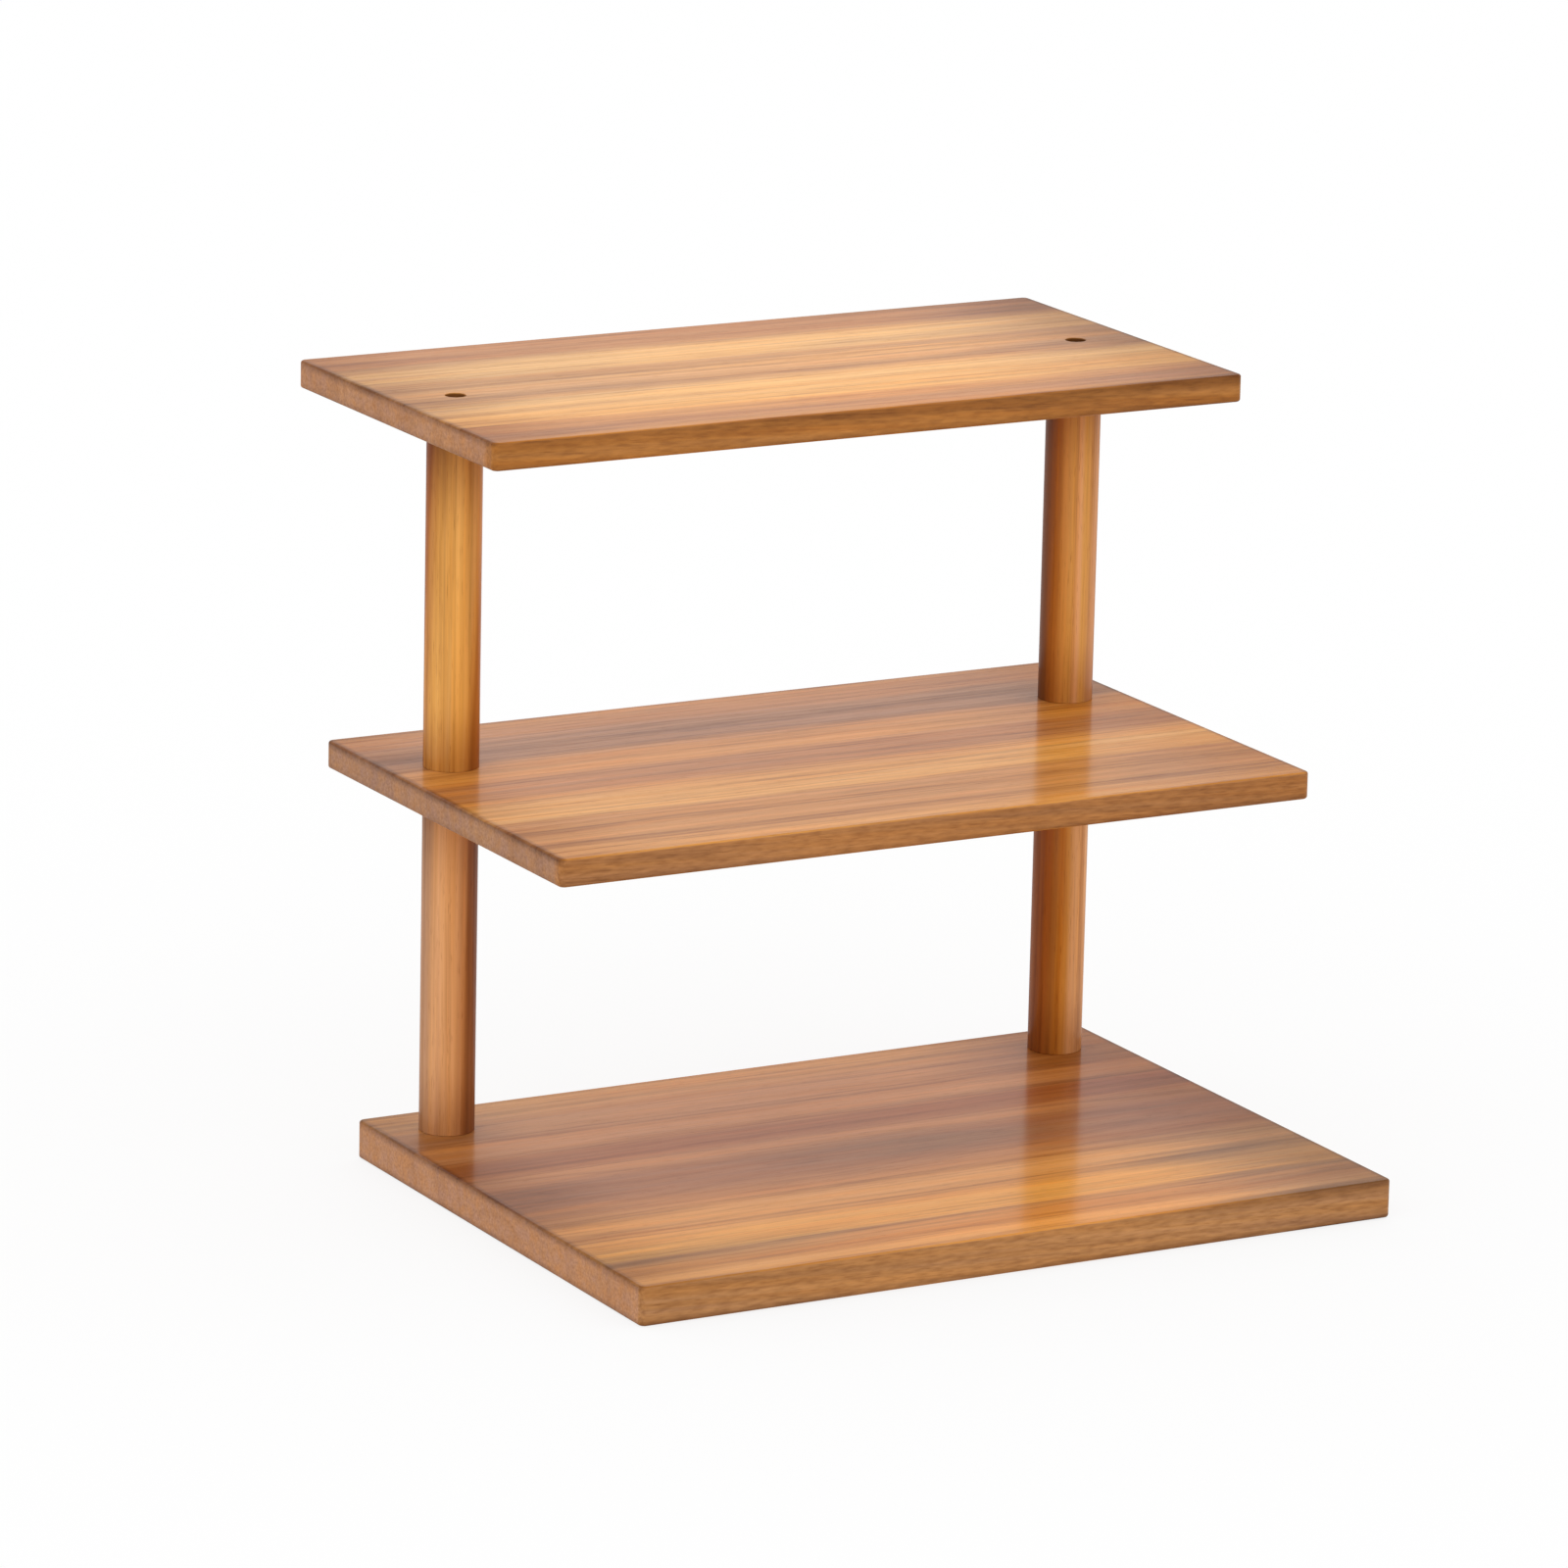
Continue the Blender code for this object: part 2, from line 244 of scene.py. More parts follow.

# Looks of each post: layers of wood tone and of painted shade through it, from its left (-1) to its right
# (1) as seen from the front left, the place of the growth rings' middle beside the post's axis in metres,
#     how
# dark the painted shade at the head and at the foot is, and how far the layers lean to the left at the head
# and at the foot, as shares of the radius
POST_LOOKS = {
    "upper_post_left": {
        "seed": 2.3,
        "pith": (-0.020, 0.016),
        "head": 1.0,
        "foot": 0.85,
        "lean": (-0.25, 0.28),
        "tone_and_shade_layers": (
            (-1.0, RED_BROWN), (-0.8, TAN), (-0.5, GOLDEN),
            (-0.25, PALE_GOLD), (0.05, PALE_GOLD), (0.45, GOLDEN),
            (0.7, GOLDEN), (0.82, HONEY), (1.0, SADDLE),
        ),
    },
    "upper_post_right": {
        "seed": 5.9,
        "pith": (0.024, 0.010),
        "head": 1.0,
        "foot": 0.72,
        "lean": (0.0, 0.0),
        "tone_and_shade_layers": (
            (-0.9, DARK_BROWN), (-0.5, SADDLE), (-0.22, HONEY),
            (0.05, GOLDEN), (0.3, ROSE_TAN), (0.5, GOLDEN),
            (0.9, CLAY),
        ),
    },
    "lower_post_left": {
        "seed": 9.6,
        "pith": (-0.016, -0.022),
        "head": 0.55,
        "foot": 0.72,
        "lean": (-0.12, 0.10),
        "tone_and_shade_layers": (
            (-0.9, DUSKY_ROSE), (-0.3, ROSE_TAN), (0.2, ROSE_TAN),
            (0.52, CLAY), (0.72, COCOA),
        ),
    },
    "lower_post_right": {
        "seed": 12.4,
        "pith": (0.014, 0.026),
        "head": 0.75,
        "foot": 0.72,
        "lean": (0.0, 0.14),
        "tone_and_shade_layers": (
            (-0.9, RED_BROWN), (-0.4, RUSSET), (-0.2, SADDLE),
            (0.05, COPPER), (0.3, HONEY), (0.6, ROSE_TAN),
        ),
    },
}

# Run of the grain: its slope and skew as shares, the size and fineness of its wandering, how far it wanders
# and how far off the middles of the growth rings lie, in metres. The posts' layers are counted along a line
# turned from the X axis to lie across the view from the front left, so that their darker tones at the sides
# paint shade there as well as wood tone.
FIBRE_SLOPE = 0.045
FIBRE_SKEW = 0.010
SWAY_LENGTH = 0.150
SWAY_WIDTH = 0.030
SWAY_DETAIL = 2.0
SWAY_SHIFT = 5.0
BAND_SWAY = 0.004
RING_SWAY = 0.004
PITH_BESIDE = 0.050
PITH_BELOW = 0.030
PITH_MARGIN = 0.100
POST_SHADE_LAYER_TURN = math.radians(-28.9912)

# Chance values of the glued staves: the first, the step to the next, and how far they set the grain apart
STAVE_START = 0.21
STAVE_STEP = 0.618
STAVE_SHIFT = 19.0

# Layers of the grain: length and width in metres, and fineness. Rings have no length. Streaks share one
# roughness, and hues take another part of the noise.
WIDE_RINGS = (0.0110, 1.0)
NARROW_RINGS = (0.0030, 3.0)
BLOTCHES = (0.160, 0.0070, 2.0)
HUES = (0.180, 0.0040, 2.0)
LINES = (0.130, 0.0018, 3.0)
FIBRES = (0.036, 0.0007, 2.0)
PORES = (0.0070, 0.00030, 1.0)
STREAK_ROUGHNESS = 0.55
HUE_SHIFT = 3.7

# Share of each layer in how dark the grain is, and the spread of that darkness. Calm wood loses a share.
WIDE_RING_SHARE = 0.20
NARROW_RING_SHARE = 0.22
BLOTCH_SHARE = 0.15
LINE_SHARE = 0.26
FIBRE_SHARE = 0.17
GRAIN_SPREAD = 0.13
CALM_SHARE = 0.6
POST_GRAIN = 1.0

# Tints of the grain, and the limits of the noise between which hues and pores come in
LIGHT_GRAIN = (1.22, 1.25, 1.28)
EVEN_GRAIN = (1.0, 1.0, 1.0)
DARK_GRAIN = (0.60, 0.52, 0.46)
WARM_GRAIN = (1.04, 0.97, 0.80)
COOL_GRAIN = (0.97, 1.01, 1.22)
HUE_LIMITS = (0.34, 0.66)
PORE_LIMITS = (0.60, 0.74)
PORE_TINT = (0.60, 0.50, 0.44)
PORE_SHARE = 0.55

# Surface of the wood: roughness of light and of dark grain, what pores add to it, how much each layer
# stands out, the height of that relief in metres, and the shine of bare wood
WOOD_ROUGHNESS = (0.42, 0.55)
PORE_ROUGHNESS = 0.15
FIBRE_RELIEF = 0.35
RING_RELIEF = 0.15
PORE_RELIEF = 0.6
WOOD_RELIEF = 0.00006
WOOD_SHINE = 0.04

# Clear lacquer over the wood, thinner on the posts. It evens out the relief, which is in metres. On the
# boards it wears off at the dark corner lines and under the painted shade round the foot, and thins out
# towards the ends, over a reach in metres.
LACQUER_WEIGHT = 0.30
POST_LACQUER_WEIGHT = 0.20
LACQUER_ROUGHNESS = 0.15
LACQUER_IOR = 1.5
LACQUER_RELIEF = 0.000006
LACQUER_WEAR = 0.75
LACQUER_THIN_SHARE = 0.50
LACQUER_THIN_REACH = 0.050

# Borders of the patches: how soft they are along the length and across the depth and how far their ends
# are ragged, all as shares, and the size of the ragged streaks
PATCH_SOFT_ALONG = 0.13
PATCH_SOFT_ACROSS = 0.045
PATCH_RAGGED = 0.45
RAGGED_STREAKS = (0.200, 0.0060, 3.0)

# Edges of the boards: the share of their even tone, the width in metres of the rim that has it, and the
# limits of the normal's upward part and of its endwise part between which edges and ends come in. On the
# long sides that even tone is partly painted shade, darker than the tops.
EDGE_SHARE = 0.90
RIM_WIDTH = 0.0030
UPRIGHT_LIMITS = (0.35, 0.85)
ENDWISE_LIMITS = (0.88, 0.99)

# Specks on the edges: size in metres, fineness, limits of the noise, and tints
SPECK_LENGTH = 0.0060
SPECK_WIDTH = 0.0011
SPECK_DETAIL = 2.0
SPECK_LIMITS = (0.32, 0.68)
LIGHT_SPECK = (1.13, 1.14, 1.17)
DARK_SPECK = (0.82, 0.78, 0.75)

# Dark lines along the upper corners of the boards, and painted shade along the lower corners: their tint,
# and how far they reach, in metres. The lines along the sides change strength between two shares of the way
# from the board's middle to its right end, and all lines and the shade come and go in patches, of a size in
# metres, where they keep at least a share of their strength.
DARK_LINE_AND_SHADE_TINT = (0.36, 0.29, 0.27)
FRONT_LINE_REACH = 0.0056
FRONT_LINE_LIMITS = (0.25, 0.75)
END_LINE_CORE = 0.0006
END_LINE_REACH = 0.0030
FOOT_SHADE_REACH = 0.0026
DARK_LINE_PATCH = 0.030
DARK_LINE_DETAIL = 2.0
DARK_LINE_LIMITS = (0.35, 0.65)
DARK_LINE_LEAST = 0.55

# Painted shade inside the screw holes, up to a lip in metres
BORE_SHADE_TINT = (0.34, 0.28, 0.30)
BORE_LIP = 0.0003

# Painted shade towards the ends of the posts: its tint, and its reaches in metres
POST_END_SHADE_TINT = (0.60, 0.50, 0.42)
POST_FOOT_SHADE_REACH = 0.028
POST_HEAD_SHADE_REACH = 0.040

# Looks of the plated metals: size of the mottle and of the grit in metres, their seeds, the dark and the
# light tone, roughness of both, and the height of the grit in metres
BLACK_OXIDE = {
    "mottle": 0.0009,
    "grit": 0.00012,
    "seeds": (0.3, 4.7),
    "tones": ((0.018, 0.017, 0.016), (0.050, 0.046, 0.042)),
    "roughness": (0.34, 0.52),
    "relief": 0.000012,
}
ZINC = {
    "mottle": 0.0012,
    "grit": 0.00015,
    "seeds": (2.9, 6.1),
    "tones": ((0.50, 0.51, 0.52), (0.64, 0.63, 0.60)),
    "roughness": (0.26, 0.40),
    "relief": 0.000008,
}
MOTTLE_LIMITS = (0.3, 0.7)
MOTTLE_DETAIL = 3.0
MOTTLE_ROUGHNESS = 0.6
GRIT_DETAIL = 2.0

# Look of the brass: steps of the mottle and of the turning marks in each metre, their seeds, the dark and
# the light tone, roughness, and the height of the turning marks in metres
BRASS_MOTTLE_STEPS = (700.0, 700.0, 700.0)
BRASS_RING_STEPS = (60.0, 60.0, 9000.0)
BRASS_SEEDS = (8.3, 1.1)
BRASS_TONES = ((0.58, 0.40, 0.13), (0.72, 0.53, 0.21))
BRASS_ROUGHNESS = (0.22, 0.38)
BRASS_RELIEF = 0.00001


# Mesh helpers

def box_middle(low, high):
    """The middle of a box, as seen from above."""
    return ((low.x + high.x) / 2, (low.y + high.y) / 2)


def eased_corner(radius, steps):
    """How far a rounded corner lies inside its side and inside its face, from the face to the side."""
    turns = [math.radians(90.0 * step / steps) for step in range(steps + 1)]
    return [(radius * (1.0 - math.sin(turn)), radius * (1.0 - math.cos(turn))) for turn in turns]


def equal_turns(sides):
    """Equal turns round a circle."""
    return [math.tau * index / sides for index in range(sides)]


def ring(reaches, height, place):
    """Points round an upright axis, each as far from it as its reach."""
    return [
        (place[0] + reach * math.cos(turn), place[1] + reach * math.sin(turn), height)
        for reach, turn in zip(reaches, equal_turns(len(reaches)))
    ]


def circle(radius, height, sides, place):
    """Points round an upright axis, all as far from it."""
    return ring([radius] * sides, height, place)


def add_loop(bm, points):
    """A closed loop of new corners."""
    return [bm.verts.new(point) for point in points]


def join_loops(bm, first, second):
    """A strip of faces between two loops with as many corners."""
    count = len(first)
    for index in range(count):
        following = (index + 1) % count
        bm.faces.new((first[index], first[following], second[following], second[index]))


def join_in_turn(bm, loops):
    """Strips of faces between each loop and the next."""
    for first, second in zip(loops, loops[1:]):
        join_loops(bm, first, second)


def close_to_point(bm, loop, point):
    """A fan of faces from a loop to one middle point."""
    middle = bm.verts.new(point)
    for index, corner in enumerate(loop):
        bm.faces.new((corner, loop[(index + 1) % len(loop)], middle))


def fill_between(bm, outer, holes):
    """A flat face inside one loop and outside others."""
    edges = []
    for loop in [outer] + holes:
        for index, corner in enumerate(loop):
            edges.append(bm.edges.get((corner, loop[(index + 1) % len(loop)])))
    bmesh.ops.triangle_fill(bm, edges=edges, use_beauty=True)


def make_piece(name, bm, node):
    """An object from a finished mesh, with crisp edges kept, that stands for a CAD node."""
    bmesh.ops.recalc_face_normals(bm, faces=bm.faces)
    for face in bm.faces:
        face.smooth = True
    for edge in bm.edges:
        edge.smooth = edge.calc_face_angle(0.0) < SHARP_ANGLE
    mesh = bpy.data.meshes.new(name)
    bm.to_mesh(mesh)
    bm.free()
    piece = bpy.data.objects.new(name, mesh)
    bpy.context.scene.collection.objects.link(piece)
    weighted = piece.modifiers.new("even_normals", "WEIGHTED_NORMAL")
    weighted.keep_sharp = True
    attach(piece, "root")
    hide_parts(node)
    return piece


# Boards

def board_outline(low, high, inset, height):
    """A board's plan outline with rounded corners, drawn in by an inset."""
    reach = CORNER_RADIUS - inset
    corners = (
        (high.x - CORNER_RADIUS, high.y - CORNER_RADIUS, 0.0),
        (low.x + CORNER_RADIUS, high.y - CORNER_RADIUS, 90.0),
        (low.x + CORNER_RADIUS, low.y + CORNER_RADIUS, 180.0),
        (high.x - CORNER_RADIUS, low.y + CORNER_RADIUS, 270.0),
    )
    points = []
    for middle_x, middle_y, start in corners:
        for step in range(CORNER_STEPS + 1):
            turn = math.radians(start + 90.0 * step / CORNER_STEPS)
            points.append((middle_x + reach * math.cos(turn), middle_y + reach * math.sin(turn), height))
    return points


def board_sides(low, high):
    """Insets and heights of the loops up a board's rounded edge, from its underside to its top."""
    lower = [(inset, low.z + rise) for inset, rise in eased_corner(ARRIS_RADIUS, ARRIS_STEPS)]
    upper = [(inset, low.z + high.z - height) for inset, height in reversed(lower)]
    return lower + upper


def eased_mouth(radius, face, inward):
    """Radii and heights round the eased mouth of a hole, from the face inward."""
    corner = eased_corner(LIP_RADIUS, LIP_STEPS)
    return [(radius + inset, face + inward * rise) for inset, rise in corner]


def hole_outline(low, high, hole_radius, recess_radius, recess):
    """Radii and heights down a screw hole, from the board's top to its underside."""
    if recess is None:
        return eased_mouth(hole_radius, high.z, -1) + eased_mouth(hole_radius, low.z, 1)[::-1]
    face, inward, depth = recess
    far_face = low.z + high.z - face
    seat = face + inward * depth
    outline = eased_mouth(recess_radius, face, inward)
    outline += [(recess_radius, seat), (hole_radius, seat)]
    outline += eased_mouth(hole_radius, far_face, -inward)[::-1]
    return outline if inward < 0 else outline[::-1]


def screw_recess(low, high, facing):
    """The face with the screw heads' recesses, the way into them, and their depth."""
    if facing == "up":
        return high.z, -1, high.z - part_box("top_screw_left")[1].z + HEAD_HEIGHT + SEAT_GAP
    if facing == "down":
        return low.z, 1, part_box("base_screw_left")[0].z - low.z + HEAD_HEIGHT + SEAT_GAP
    return None


def add_board(node, look, post_places, radii):
    """A board with rounded corners, softened edges and its two screw holes."""
    low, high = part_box(node)
    bm = bmesh.new()
    loops = [
        add_loop(bm, board_outline(low, high, inset, height))
        for inset, height in board_sides(low, high)
    ]
    join_in_turn(bm, loops)

    recess = screw_recess(low, high, look["recess"])
    outline = hole_outline(low, high, radii["hole"], radii["recess"], recess)
    mouths = []
    feet = []
    for place in post_places:
        hole = [add_loop(bm, circle(radius, height, HOLE_SIDES, place)) for radius, height in outline]
        join_in_turn(bm, hole)
        mouths.append(hole[0])
        feet.append(hole[-1])
    fill_between(bm, loops[-1], mouths)
    fill_between(bm, loops[0], feet)

    piece = make_piece(node + "_wood", bm, node)
    bores = (*post_places, radii["recess"])
    piece.data.materials.append(board_wood(node + "_grain", low, high, look, bores))


# Posts

def post_outline(low, high, radii):
    """Radii and heights from a post's lower pocket, round its outside, to its upper pocket."""
    radius = (high.x - low.x) / 2
    end = low.z - SEAT_GAP + SEAT_LEFT
    foot = [
        (radii["hole"], low.z + radii["pilot_depth"]),
        (radii["hole"], low.z + radii["pocket_depth"]),
        (radii["pocket"], low.z + radii["pocket_depth"]),
        (radii["pocket"], end),
    ]
    foot += [(radius - inset, end + rise) for inset, rise in eased_corner(POST_EASE, POST_EASE_STEPS)]
    head = [(reach, low.z + high.z - height) for reach, height in reversed(foot)]
    return foot + head


def add_post(node, look, radii):
    """A turned post with eased ends and a stepped pocket in each end."""
    low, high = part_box(node)
    place = box_middle(low, high)
    bm = bmesh.new()
    outline = post_outline(low, high, radii)
    loops = [add_loop(bm, circle(reach, height, POST_SIDES, place)) for reach, height in outline]
    join_in_turn(bm, loops)
    close_to_point(bm, loops[0], (*place, outline[0][1]))
    close_to_point(bm, loops[-1], (*place, outline[-1][1]))
    piece = make_piece(node + "_wood", bm, node)
    piece.data.materials.append(post_wood(node + "_grain", low, high, look))


# Screws and studs

def thread_reach(radius, height, turn, ends):
    """The radius of a threaded rod at a height and an angle, tapered at the ends."""
    phase = (height / THREAD_PITCH - turn / math.tau) % 1.0
    flat = (THREAD_STEEPNESS - 1.0) / 2
    crest = min(max(abs(2.0 * phase - 1.0) * THREAD_STEEPNESS - flat, 0.0), 1.0)
    reach = radius - THREAD_DEPTH * (1.0 - crest)
    for end in ends:
        reach = min(reach, radius - TIP_CHAMFER + abs(height - end))
    return reach


def thread_loops(bm, place, radius, start, finish, ends):
    """Loops of corners down a threaded rod between two heights."""
    rows = round(abs(finish - start) / THREAD_PITCH * THREAD_ROWS)
    loops = []
    for row in range(rows + 1):
        height = start + (finish - start) * row / rows
        reaches = [thread_reach(radius, height, turn, ends) for turn in equal_turns(FASTENER_SIDES)]
        loops.append(add_loop(bm, ring(reaches, height, place)))
    return loops


def hexagon(width, height, place):
    """Points round a hexagon, as many as round the screw."""
    off_flats = [turn % math.radians(60) - math.radians(30) for turn in equal_turns(FASTENER_SIDES)]
    return ring([width / 2 / math.cos(off_flat) for off_flat in off_flats], height, place)


def knurled(radius, height, place):
    """Points round a knurled rim: every second one lies in a groove."""
    reaches = [radius - KNURL_DEPTH * (index % 2) for index in range(FASTENER_SIDES)]
    return ring(reaches, height, place)


def head_loops(bm, place, radius, top, up):
    """Loops from the floor of a cap screw's hexagon socket, over its head, to its seat."""
    seat = top - up * HEAD_HEIGHT
    socket_floor = top - up * SOCKET_DEPTH
    corner = SOCKET_WIDTH / 2 / math.cos(math.radians(30))
    loops = [
        add_loop(bm, hexagon(SOCKET_WIDTH, socket_floor, place)),
        add_loop(bm, hexagon(SOCKET_WIDTH, top - up * SOCKET_CHAMFER, place)),
        add_loop(bm, circle(corner + SOCKET_CHAMFER, top, FASTENER_SIDES, place)),
    ]
    for inset, rise in eased_corner(HEAD_EASE, HEAD_EASE_STEPS):
        loops.append(add_loop(bm, circle(radius - inset, top - up * rise, FASTENER_SIDES, place)))
    for height in (top - up * KNURL_MARGIN, seat + up * KNURL_MARGIN):
        loops.append(add_loop(bm, knurled(radius, height, place)))
    loops.append(add_loop(bm, circle(radius, seat, FASTENER_SIDES, place)))
    return loops


def add_screw(node, up, thread_radius):
    """A cap screw: knurled head with a hexagon socket, and a threaded shank."""
    low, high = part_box(node)
    place = box_middle(low, high)
    radius = (high.x - low.x) / 2
    top, tip = (high.z, low.z) if up > 0 else (low.z, high.z)
    seat = top - up * HEAD_HEIGHT
    bm = bmesh.new()
    loops = head_loops(bm, place, radius, top, up)
    shank = seat - up * THREAD_RUNOUT
    for height in (seat, shank):
        loops.append(add_loop(bm, circle(thread_radius, height, FASTENER_SIDES, place)))
    loops += thread_loops(bm, place, thread_radius, shank - up * THREAD_PITCH / 4, tip, [tip])
    join_in_turn(bm, loops)
    close_to_point(bm, loops[0], (*place, top - up * (SOCKET_DEPTH + SOCKET_CONE)))
    close_to_point(bm, loops[-1], (*place, tip))
    piece = make_piece(node + "_steel", bm, node)
    piece.data.materials.append(plated_steel("screw_black_oxide", BLACK_OXIDE))


def add_stud(node):
    """A headless stud, threaded from end to end."""
    low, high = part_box(node)
    place = box_middle(low, high)
    bm = bmesh.new()
    loops = thread_loops(bm, place, (high.x - low.x) / 2, high.z, low.z, [high.z, low.z])
    join_in_turn(bm, loops)
    close_to_point(bm, loops[0], (*place, high.z))
    close_to_point(bm, loops[-1], (*place, low.z))
    piece = make_piece(node + "_steel", bm, node)
    piece.data.materials.append(plated_steel("stud_zinc", ZINC))


# Shader helpers

def set_stops(band, stops, interpolation):
    """Give a colour ramp its places and tones."""
    band.interpolation = interpolation
    while len(band.elements) < len(stops):
        band.elements.new(0.5)
    for element, (place, _) in zip(band.elements, stops):
        element.position = place
    for element, (_, tone) in zip(band.elements, stops):
        element.color = (*tone, 1.0)


class Graph:
    """The nodes of one material, added by short calls."""

    def __init__(self, name):
        self.material = bpy.data.materials.new(name)
        self.material.use_nodes = True
        self.tree = self.material.node_tree
        self.tree.nodes.clear()

    def feed(self, socket, value):
        """Link a socket, or set its value."""
        if isinstance(value, bpy.types.NodeSocket):
            self.tree.links.new(value, socket)
        elif isinstance(value, (int, float)):
            socket.default_value = value
        else:
            length = len(socket.default_value)
            socket.default_value = (*value, 1.0)[:length]

    def node(self, kind, inputs=(), **settings):
        """A node with some of its settings and inputs given."""
        made = self.tree.nodes.new(kind)
        for key, value in settings.items():
            setattr(made, key, value)
        for key, value in dict(inputs).items():
            self.feed(made.inputs[key], value)
        return made

    def math(self, operation, first, second=0.0, third=0.0):
        """A sum, product or other operation on numbers."""
        made = self.node("ShaderNodeMath", operation=operation)
        for socket, value in zip(made.inputs, (first, second, third)):
            self.feed(socket, value)
        return made.outputs[0]

    def vector(self, operation, first, second=(0.0, 0.0, 0.0)):
        """An operation on places or directions."""
        made = self.node("ShaderNodeVectorMath", operation=operation)
        self.feed(made.inputs[0], first)
        self.feed(made.inputs[1], second)
        return made.outputs["Value" if operation in ("DOT_PRODUCT", "LENGTH") else "Vector"]

    def split(self, vector):
        """The three numbers of a place."""
        made = self.node("ShaderNodeSeparateXYZ", {"Vector": vector})
        return made.outputs["X"], made.outputs["Y"], made.outputs["Z"]

    def join(self, x, y, z):
        """A place from three numbers."""
        return self.node("ShaderNodeCombineXYZ", {"X": x, "Y": y, "Z": z}).outputs[0]

    def fit(self, value, low, high, to_low=0.0, to_high=1.0, smooth=False):
        """A value moved from one range to another and held inside it."""
        made = self.node(
            "ShaderNodeMapRange",
            {"Value": value, "From Min": low, "From Max": high, "To Min": to_low, "To Max": to_high},
            interpolation_type="SMOOTHSTEP" if smooth else "LINEAR",
        )
        return made.outputs["Result"]

    def noise(self, vector, shift, detail, roughness=0.5):
        """Soft noise; the shift picks another part of the pattern."""
        made = self.node(
            "ShaderNodeTexNoise",
            {"Vector": vector, "W": shift, "Scale": 1.0, "Detail": detail, "Roughness": roughness},
            noise_dimensions="4D",
        )
        return made.outputs["Fac"]

    def line_noise(self, value, detail, roughness=0.6):
        """Soft noise along a line."""
        made = self.node(
            "ShaderNodeTexNoise",
            {"W": value, "Scale": 1.0, "Detail": detail, "Roughness": roughness},
            noise_dimensions="1D",
        )
        return made.outputs["Fac"]

    def span(self, value, low, high, soft):
        """One inside a range and nought outside it, with soft borders."""
        rise = self.fit(value, low - soft, low + soft, smooth=True)
        fall = self.fit(value, high - soft, high + soft, 1.0, 0.0, smooth=True)
        return self.math("MULTIPLY", rise, fall)

    def mix(self, share, first, second):
        """Two numbers blended. The sockets share names, so numbers pick them."""
        return self.node("ShaderNodeMix", {0: share, 2: first, 3: second}).outputs[0]

    def ramp(self, value, stops, interpolation="LINEAR"):
        """A colour from a list of places and tones."""
        made = self.node("ShaderNodeValToRGB", {"Fac": value})
        set_stops(made.color_ramp, stops, interpolation)
        return made.outputs["Color"]

    def blend(self, kind, share, first, second):
        """Two colours blended."""
        inputs = {0: share, 6: first, 7: second}
        return self.node("ShaderNodeMix", inputs, data_type="RGBA", blend_type=kind).outputs[2]

    def tinted(self, tone, tint, share=1.0):
        """A colour multiplied by a tint, in full or in part."""
        return self.blend("MULTIPLY", share, tone, tint)

    def bump(self, height, distance):
        """A normal tilted by a relief of a given height in metres."""
        made = self.node("ShaderNodeBump", {"Height": height, "Distance": distance, "Strength": 1.0})
        return made.outputs["Normal"]

    def finish(self, inputs):
        """The material's surface, from the values of its shader."""
        shader = self.node("ShaderNodeBsdfPrincipled", inputs)
        output = self.node("ShaderNodeOutputMaterial")
        self.tree.links.new(shader.outputs[0], output.inputs["Surface"])
        return self.material


# Wood

def drawn_out(graph, fibre, length, width):
    """A place counted in lengths along the grain and in widths across and through it."""
    along, across, through = fibre
    return graph.join(
        graph.math("DIVIDE", along, length),
        graph.math("DIVIDE", across, width),
        graph.math("DIVIDE", through, width),
    )


def sway(graph, fibre, shift):
    """Slow wandering of the grain along its length, as two shares from -0.5 to 0.5."""
    place = drawn_out(graph, fibre, SWAY_LENGTH, SWAY_WIDTH)
    first = graph.noise(place, shift, SWAY_DETAIL)
    second = graph.noise(place, shift + SWAY_SHIFT, SWAY_DETAIL)
    return graph.math("SUBTRACT", first, 0.5), graph.math("SUBTRACT", second, 0.5)


def streaks(graph, fibre, shift, layer):
    """Noise drawn out along the grain."""
    length, width, detail = layer
    return graph.noise(drawn_out(graph, fibre, length, width), shift, detail, STREAK_ROUGHNESS)


def growth_rings(graph, across, through, pith_across, pith_through, shift):
    """Uneven light and dark growth rings round a pith: wide ones and narrow ones."""
    off_across = graph.math("SUBTRACT", across, pith_across)
    off_through = graph.math("SUBTRACT", through, pith_through)
    reach = graph.vector("LENGTH", graph.join(off_across, off_through, 0.0))
    rings = []
    for width, detail in (WIDE_RINGS, NARROW_RINGS):
        place = graph.math("ADD", graph.math("DIVIDE", reach, width), shift)
        rings.append(graph.line_noise(place, detail))
    return rings


